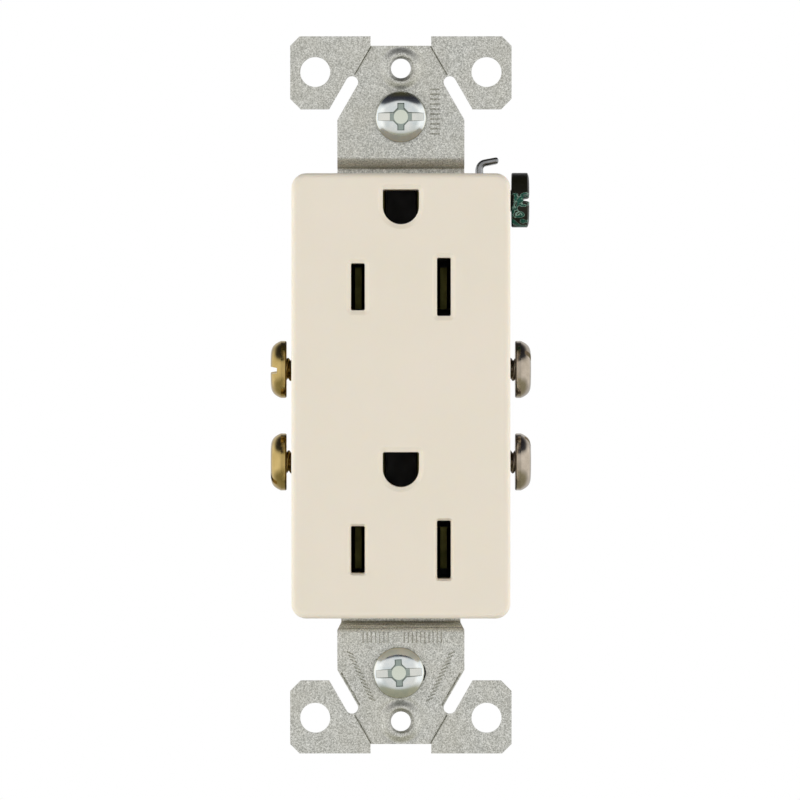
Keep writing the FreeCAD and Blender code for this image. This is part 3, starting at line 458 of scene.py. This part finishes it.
def install(piece, body, slot, node, turn=Matrix.Identity(4)):
    """Put a finished piece in the frame, on its body, in place of its CAD node."""
    piece.data.transform(Matrix.Scale(MM, 4) @ turn)
    piece.data.materials.clear()
    piece.data.materials.append(materials[slot])
    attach(piece, body)
    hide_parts(node)


# ---- strap ----

SHEET = 1.2
STRAP_FRONT = -SHEET
SEAM_RADIUS = 3.9
NOTCH_DEPTH = 1.4
BOSS_LIP = 21
STAMP_DEPTH = 0.12
LOWER_ROW_Z = -35.97
# break-off line of the upper right ear, mirrored for the others, and the coined edge beside a lower slot
SCORE = {"start": (6.80, 47.45), "end": (4.36, 51.66), "width": 0.32, "depth": 0.30}
COINED = {"start": (8.85, -41.2), "end": (6.08, -46.0), "width": 0.30, "depth": 0.20}


def boss_loop():
    """Section of a raised, tapped boss: (radius, height above the strap's front).

    Its point number BOSS_LIP, counted from 0, is where the lead-in of the hole starts.
    """
    foot = 3.3
    top = 2.05
    dip = 0.11
    rise = 0.3
    bore = 1.475
    collar = 2.35
    collar_end = -2.1
    steps = 14
    loop = [(SEAM_RADIUS, -SHEET), (SEAM_RADIUS, 0), (3.80, 0), (3.62, -0.02), (3.44, -0.075)]
    for step in range(steps + 1):
        share = step / steps
        loop.append((foot + (top - foot) * share, -dip + (rise + dip) * share * share * (3 - 2 * share)))
    loop += [(1.98, rise), (1.84, rise - 0.05), (bore, -0.30)]
    loop += [(bore, collar_end), (2.1, collar_end), (collar, -1.85), (collar, -SHEET)]
    return loop


def press_boss(strap, centre, notch, drift):
    """Swap the strap's sheet round a plate screw hole for a boss with a soft, pressed slope."""
    side = math.copysign(1, centre)
    place = Matrix.Translation((0, STRAP_FRONT, centre)) @ Matrix.Rotation(math.radians(90), 4, "X")
    segments = 96
    boss = lathe("boss", boss_loop(), segments, closed=True)
    for vertex in boss.data.vertices[BOSS_LIP * segments:(BOSS_LIP + 1) * segments]:
        vertex.co += Vector((drift[0], drift[1], 0))
    plug_half = 4
    plug = lathe("plug", [(SEAM_RADIUS, -plug_half), (SEAM_RADIUS, plug_half)], segments)
    for piece in (boss, plug):
        piece.data.transform(place)
    cut(strap, plug)
    trim_half = 6
    trim_reach = 5
    trim_deep = 8
    end = notch + trim_reach
    corners = [(-trim_half, notch), (trim_half, notch), (trim_half, end), (-trim_half, end)]
    vertices, faces = prism(corners, -trim_deep, trim_deep)
    trim = join_shapes("trim", [([(x, height, side * z) for x, z, height in vertices], faces)])
    fix_normals(trim)
    cut(boss, trim)
    weld(strap, boss, centre)


def fix_normals(piece):
    """Point every face of a closed shape outward."""
    shape = bmesh.new()
    shape.from_mesh(piece.data)
    bmesh.ops.recalc_face_normals(shape, faces=shape.faces)
    shape.to_mesh(piece.data)
    shape.free()


def weld(strap, boss, centre):
    """Join the boss to the strap along their common seam, without the walls between them."""
    on_seam = 0.004
    same_point = 0.003
    shape = bmesh.new()
    shape.from_mesh(strap.data)
    shape.from_mesh(boss.data)
    walls = []
    for face in shape.faces:
        away = [abs(math.hypot(corner.co.x, corner.co.z - centre) - SEAM_RADIUS) for corner in face.verts]
        if max(away) < on_seam and abs(face.normal.y) < 0.5:
            walls.append(face)
    bmesh.ops.delete(shape, geom=walls, context="FACES")
    bmesh.ops.remove_doubles(shape, verts=shape.verts, dist=same_point)
    shape.to_mesh(strap.data)
    shape.free()
    bpy.data.objects.remove(boss)


def stroke(centre, size, turn, depth):
    """A V-shaped stamped stroke in the strap's front, as a closed wedge that starts above the surface."""
    half_long = size[0] / 2
    half_wide = size[1] / 2
    lift = 0.05
    grow = 1 + lift / depth
    cosine = math.cos(turn)
    sine = math.sin(turn)
    long = half_long + half_wide * (grow - 1)
    wide = half_wide * grow
    corners = [(-long, -wide, -lift), (long, -wide, -lift), (long, wide, -lift), (-long, wide, -lift),
               (-half_long + half_wide, 0, depth), (half_long - half_wide, 0, depth)]
    vertices = [(centre[0] + along * cosine - aside * sine, STRAP_FRONT + down,
                 centre[1] + along * sine + aside * cosine) for along, aside, down in corners]
    faces = [(0, 1, 2, 3), (0, 4, 5, 1), (1, 5, 2), (2, 5, 4, 3), (3, 4, 0)]
    return vertices, faces


def line_stroke(start, end, width, depth):
    """A V-shaped groove from one (x, z) point to another."""
    run = Vector(end) - Vector(start)
    middle = (Vector(start) + Vector(end)) / 2
    return stroke(middle, (run.length, width), math.atan2(run[1], run[0]), depth)


def row_of_strokes(start, end, count, size, turn):
    """Equal strokes with their centres spread from one (x, z) point to another."""
    shapes = []
    for number in range(count):
        share = number / (count - 1)
        centre = (start[0] + (end[0] - start[0]) * share, start[1] + (end[1] - start[1]) * share)
        shapes.append(stroke(centre, size, turn, STAMP_DEPTH))
    return shapes


def mirrored(line, side, end):
    """A groove of the strap, mirrored in x by side and in z by end."""
    first = (side * line["start"][0], end * line["start"][1])
    last = (side * line["end"][0], end * line["end"][1])
    return line_stroke(first, last, line["width"], line["depth"])


def sink_spot(strap, across, up):
    """A round spot just under the surface, with a shallow sloping edge."""
    radius = 2.02
    slope = 0.2
    half_deep = 0.14
    spot = lathe("spot", [(radius - slope, -half_deep), (radius + slope, half_deep)], 64)
    place = Matrix.Translation((across, STRAP_FRONT, up)) @ Matrix.Rotation(math.radians(90), 4, "X")
    spot.data.transform(place)
    cut(strap, spot)


def stamp_strap(strap):
    """Plain shallow marks: rows of strokes, break-off lines, coined edges and two round spots."""
    upright = math.radians(90)
    slant = math.radians(25)
    shapes = row_of_strokes((5.0, 45.3), (5.0, 38.7), 10, (1.5, 0.24), 0)
    shapes += row_of_strokes((-5.6, LOWER_ROW_Z), (-1.9, LOWER_ROW_Z), 7, (1.6, 0.24), upright)
    shapes += row_of_strokes((0.5, LOWER_ROW_Z), (6.0, LOWER_ROW_Z), 10, (1.6, 0.24), upright)
    for side in (-1, 1):
        shapes += row_of_strokes((side * 7.5, -38.3), (side * 4.3, -45.1), 13, (1.15, 0.22), side * slant)
    for side in (-1, 1):
        for end in (-1, 1):
            shapes.append(mirrored(SCORE, side, end))
        shapes.append(mirrored(COINED, side, 1))
    cutter = join_shapes("stroke_cutter", shapes)
    fix_normals(cutter)
    cut(strap, cutter)
    for across in (-7.0, 7.8):
        sink_spot(strap, across, 37.1)


def make_strap():
    """The CAD strap with rounded edges, its stampings, and a pressed boss at each plate screw hole."""
    strap = cad_copy("mounting_strap", "strap")
    notch = box_mm("mounting_strap")[1][2] - NOTCH_DEPTH
    bevel(strap, 0.08, 2, 50)
    stamp_strap(strap)
    for name, drift in (("plate_screw_hole_upper", (0.07, -0.07)), ("plate_screw_hole_lower", (0.09, 0.07))):
        press_boss(strap, mounts[name]["pos_m"][2] / MM, notch, drift)
    smooth(strap, 40)
    flatten_normals(strap)
    install(strap, "device", "strap_steel", "mounting_strap")


def refine(node, slot, width, body="device", segments=2, clamp=True):
    """Keep the CAD shape, with its sharp edges rounded."""
    piece = cad_copy(node, node + "_visual")
    bevel(piece, width, segments, 45, clamp)
    smooth(piece, 40)
    flatten_normals(piece)
    install(piece, body, slot, node)


def make_small_parts():
    refine("ground_terminal_bracket", "spring_steel", 0.42, segments=5, clamp=False)
    for retainer in ("screw_retainer_upper", "screw_retainer_lower"):
        refine(retainer, "fibre", 0.08, retainer)


# ---- screws ----

def screw_frame(seat, outward, spin):
    """The turn that puts a screw modelled along +Z on its seat, head outward."""
    turn = Vector((0, 0, 1)).rotation_difference(Vector(outward)).to_matrix().to_4x4()
    return Matrix.Translation(seat) @ turn @ Matrix.Rotation(math.radians(spin), 4, "Z")


def thread(name, radius, length, start):
    """A screw shank with a helical thread, from z = start down to -length."""
    pitch = 0.794
    depth = 0.42
    flank = 2.7
    taper_length = 0.7
    taper_slope = 0.75
    around = 40
    rows = 10
    vertices = []
    faces = []
    steps = int((start + length) / pitch * rows)
    for row in range(steps + 1):
        z = start - (start + length) * row / steps
        for step in range(around):
            share = step / around
            phase = (z / pitch + share) % 1.0
            ridge = min(1.0, max(0.0, flank * (0.5 - abs(phase - 0.5))))
            limit = radius - max(0.0, taper_length - (z + length)) * taper_slope
            reach = min(radius - depth * (1 - ridge), limit)
            angle = 2 * math.pi * share
            vertices.append((reach * math.cos(angle), reach * math.sin(angle), z))
    for row in range(steps):
        for step in range(around):
            after = (step + 1) % around
            upper = row * around
            lower = upper + around
            faces.append((upper + step, lower + step, lower + after, upper + after))
    faces.append(tuple(range(around)))
    faces.append(tuple(reversed(range(steps * around, (steps + 1) * around))))
    return mesh_object(name, vertices, faces)


def rounded(points, centre, radius, start, end):
    """Add an arc to a profile, in the (radius, height) plane, with angles in degrees."""
    steps = 8
    for step in range(steps + 1):
        angle = math.radians(start + (end - start) * step / steps)
        points.append((centre[0] + radius * math.cos(angle), centre[1] + radius * math.sin(angle)))


def head_profile(radius, rim, dome, power):
    """Flat underside, rounded rim, and a dome that falls off with the given power of the radius."""
    edge = 0.24
    inside_shank = 1.2
    points = [(inside_shank, 0.0)]
    rounded(points, (radius - edge, edge), edge, -90, 0)
    steps = 26
    for step in range(steps + 1):
        share = 1 - step / steps
        reach = radius * math.sin(share * math.pi / 2)
        points.append((reach, rim + dome * (1 - (reach / radius) ** power)))
    return points


def cross_outline(tall, wide, span):
    """Outline of a cross recess: each arm's (half width, reach), and 45 degree webs where x + y = span."""
    quarter = [(wide[1], wide[0]), (span - wide[0], wide[0]), (tall[0], span - tall[0]), tall]
    outline = []
    for x_side, y_side in ((1, 1), (-1, 1), (-1, -1), (1, -1)):
        corners = quarter if x_side == y_side else quarter[::-1]
        outline += [(x_side * x, y_side * y) for x, y in corners]
    return outline


def at_height(outline, height):
    """A flat outline as a ring of points."""
    return [(x, y, height) for x, y in outline]


def rectangle(half_long, half_wide):
    """Outline of a rectangle round the origin."""
    sides = ((-1, -1), (1, -1), (1, 1), (-1, 1))
    return [(x_side * half_long, y_side * half_wide) for x_side, y_side in sides]


def cut_drive(head, apex, slot_half, slot_width, slot_depth):
    """Slot, then a cross recess with sloping walls and a shallow round pit in its floor."""
    half = slot_width / 2
    draft = 0.15
    clear = apex + 1
    slot_floor = apex - slot_depth
    cut(head, stack("slot_cutter", [
        at_height(rectangle(slot_half - draft, half - draft), slot_floor),
        at_height(rectangle(slot_half, half), apex),
        at_height(rectangle(slot_half, half), clear),
    ]))
    recess_floor = slot_floor - 0.15
    pit_radius = 1.05
    cut(head, stack("pit_cutter", [
        [(0, 0, recess_floor - 0.12)],
        circle(pit_radius, recess_floor - 0.04, 24),
        circle(pit_radius, recess_floor + 0.02, 24),
    ]))
    narrow_cross = cross_outline((0.38, 1.90), (0.48, 1.62), 1.58)
    broad_cross = cross_outline((0.53, 2.05), (0.62, 1.76), 1.84)
    cut(head, stack("cross_cutter", [
        at_height(narrow_cross, recess_floor),
        at_height(broad_cross, apex),
        at_height(broad_cross, clear),
    ]))


THREAD_RADIUS = 1.74
SCREWS = {
    "terminal": {"head": (4.27, 0.85, 1.52, 7), "shank": 7.0, "slot": (4.6, 1.05, 0.95)},
    "ground": {"head": (4.07, 2.35, 0.3, 9), "shank": 7.2, "slot": (4.6, 1.2, 0.9)},
    "mounting": {"head": (3.775, 0.79, 1.13, 4), "shank": 19.0, "slot": (3.50, 1.36, 0.95)},
}


def make_screw(node, slot, kind, spin):
    """Head and threaded shank of one screw, in place of its CAD node.

    A head is (radius, rim, dome, power of the dome), and a slot is (half length, width, depth).
    """
    radius, rim, dome, power = SCREWS[kind]["head"]
    length = SCREWS[kind]["shank"]
    joint = joints[node]
    outward = -Vector(joint["axis"])
    seat = Vector(joint["pos_m"]) / MM
    low, high = box_mm(node)
    along = max(range(3), key=lambda axis: abs(outward[axis]))
    tip = (low if outward[along] > 0 else high)[along]
    seat[along] = tip + length * outward[along]
    head = lathe(node + "_visual", head_profile(radius, rim, dome, power), 128)
    cut_drive(head, rim + dome, *SCREWS[kind]["slot"])
    smooth(head, 16)
    spiral = thread(node + "_thread", THREAD_RADIUS, length, 0.05)
    smooth(spiral, 60)
    turn = screw_frame(seat, outward, spin)
    for piece in (head, spiral):
        install(piece, node, slot, node, turn)


def make_screws():
    """All the screws on joints: node, material slot, kind, and the turn of the slot in degrees."""
    wanted = (
        ("terminal_screw_hot_upper", "terminal_brass", "terminal", 87.5),
        ("terminal_screw_hot_lower", "terminal_brass", "terminal", 38),
        ("terminal_screw_neutral_upper", "terminal_silver", "terminal", 50),
        ("terminal_screw_neutral_lower", "terminal_silver", "terminal", 22),
        ("ground_screw", "ground_green", "ground", 85.5),
        ("mounting_screw_upper", "screw_zinc", "mounting", 0),
        ("mounting_screw_lower", "screw_zinc", "mounting", 3),
    )
    for node, slot, kind, spin in wanted:
        make_screw(node, slot, kind, spin)


def paint_cad_nodes():
    """Give every CAD node that stays its finished material."""
    slots = {part["node"]: part["material_slot"] for part in frame["record"]["subparts"]}
    for node, piece in frame["nodes"].items():
        finish = "contact_nickel" if node == "neutral_contact_strip" else slots[node]
        piece.data.materials.clear()
        piece.data.materials.append(materials[finish])


# ---- stage ----

# colour of the surroundings by the sine of the elevation
WORLD_STOPS = (
    (-1.00, (0.34, 0.33, 0.24)),
    (-0.66, (0.42, 0.41, 0.31)),
    (-0.50, (0.74, 0.74, 0.72)),
    (0.00, (0.86, 0.86, 0.86)),
    (0.50, (0.86, 0.86, 0.87)),
    (0.62, (0.06, 0.065, 0.08)),
    (0.85, (0.03, 0.03, 0.04)),
    (1.00, (0.06, 0.055, 0.03)),
)


def ramp_node(tree, source, start, end):
    """A clamped 0 to 1 ramp of a value between start and end."""
    node = tree.nodes.new("ShaderNodeMapRange")
    node.inputs["From Min"].default_value = start
    node.inputs["From Max"].default_value = end
    tree.links.new(source, node.inputs["Value"])
    return node.outputs["Result"]


def math_node(tree, operation, first, second=None):
    """A Math node of one or two sockets."""
    node = tree.nodes.new("ShaderNodeMath")
    node.operation = operation
    tree.links.new(first, node.inputs[0])
    if second is not None:
        tree.links.new(second, node.inputs[1])
    return node.outputs["Value"]


def blend_node(tree, factor, colour, level):
    """Blend a colour towards a grey level."""
    node = tree.nodes.new("ShaderNodeMix")
    node.data_type = "RGBA"
    node.inputs[7].default_value = (level, level, level, 1)
    tree.links.new(factor, node.inputs[0])
    tree.links.new(colour, node.inputs[6])
    return node.outputs[2]


def make_world():
    """Dark ceiling, dim warm floor, bright front and sides, a lighter back, and white for the camera."""
    back_level = 0.72
    side_level = 1.15
    world = bpy.data.worlds.new("studio")
    bpy.context.scene.world = world
    world.use_nodes = True
    tree = world.node_tree
    tree.nodes.clear()
    place = tree.nodes.new("ShaderNodeTexCoord")
    split = tree.nodes.new("ShaderNodeSeparateXYZ")
    tree.links.new(place.outputs["Generated"], split.inputs["Vector"])
    across, deep, up = (split.outputs[axis] for axis in "XYZ")
    ramp = tree.nodes.new("ShaderNodeValToRGB")
    stops = ramp.color_ramp.elements
    stops[0].color = (*WORLD_STOPS[0][1], 1.0)
    stops[1].color = (*WORLD_STOPS[-1][1], 1.0)
    for height, colour in WORLD_STOPS[1:-1]:
        stops.new((height + 1) / 2).color = (*colour, 1.0)
    tree.links.new(ramp_node(tree, up, -1, 1), ramp.inputs["Fac"])
    steepness = math_node(tree, "ABSOLUTE", up)
    sideways = math_node(tree, "ABSOLUTE", across)
    low_back = ramp_node(tree, steepness, 0.75, 0.45)
    low_side = ramp_node(tree, steepness, 0.50, 0.36)
    behind = math_node(tree, "MULTIPLY", ramp_node(tree, deep, -0.05, 0.4), low_back)
    beside = math_node(tree, "MULTIPLY", ramp_node(tree, sideways, 0.55, 0.8), low_side)
    colour = blend_node(tree, behind, ramp.outputs["Color"], back_level)
    colour = blend_node(tree, beside, colour, side_level)
    around = tree.nodes.new("ShaderNodeBackground")
    white = tree.nodes.new("ShaderNodeBackground")
    path = tree.nodes.new("ShaderNodeLightPath")
    choose = tree.nodes.new("ShaderNodeMixShader")
    output = tree.nodes.new("ShaderNodeOutputWorld")
    white.inputs["Color"].default_value = (1, 1, 1, 1)
    tree.links.new(colour, around.inputs["Color"])
    tree.links.new(path.outputs["Is Camera Ray"], choose.inputs["Fac"])
    tree.links.new(around.outputs["Background"], choose.inputs[1])
    tree.links.new(white.outputs["Background"], choose.inputs[2])
    tree.links.new(choose.outputs["Shader"], output.inputs["Surface"])


def add_softbox(name, place, size, power):
    """A rectangular light that faces the object."""
    light = bpy.data.lights.new(name, "AREA")
    light.shape = "RECTANGLE"
    light.size = size[0]
    light.size_y = size[1]
    light.energy = power
    made = bpy.data.objects.new(name, light)
    made.location = place
    made.rotation_mode = "QUATERNION"
    made.rotation_quaternion = (-Vector(place)).to_track_quat("-Z", "Y")
    made.visible_camera = False
    made.visible_glossy = False
    bpy.context.scene.collection.objects.link(made)


def make_lights():
    """A tall softbox at each side, a little in front of the object, the left one stronger."""
    for name, side, power in (("left_softbox", -1, 6.4), ("right_softbox", 1, 5.8)):
        add_softbox(name, (side * 0.93, -0.37, 0.0), (0.75, 1.10), power)


def make_floor():
    """A plain pale floor below the object."""
    half = 2.6
    height = -0.62
    corners = [(-half, -half, height), (half, -half, height), (half, half, height), (-half, half, height)]
    floor = mesh_object("floor", corners, [(0, 1, 2, 3)])
    make = new_material("pale_floor")
    make.set(Base_Color=(0.86, 0.86, 0.85), Roughness=0.6)
    floor.data.materials.append(make.material)
    floor.visible_glossy = False


def make_camera():
    """A level camera in front of the face, far enough away to show almost no perspective."""
    distance = 1.5
    width = 0.1186
    camera = bpy.data.cameras.new("camera")
    camera.sensor_width = 36.0
    camera.lens = camera.sensor_width * (distance + STRAP_FRONT * MM) / width
    camera.clip_start = 0.05
    camera.clip_end = 20.0
    made = bpy.data.objects.new("camera", camera)
    made.location = (-0.00013, -distance, -0.00076)
    made.rotation_euler = (math.radians(90), 0, 0)
    bpy.context.scene.collection.objects.link(made)
    bpy.context.scene.camera = made


materials = make_materials()
bpy.context.scene.view_settings.view_transform = "Standard"
make_camera()
make_world()
make_lights()
make_floor()
paint_cad_nodes()
make_strap()
make_small_parts()
make_screws()
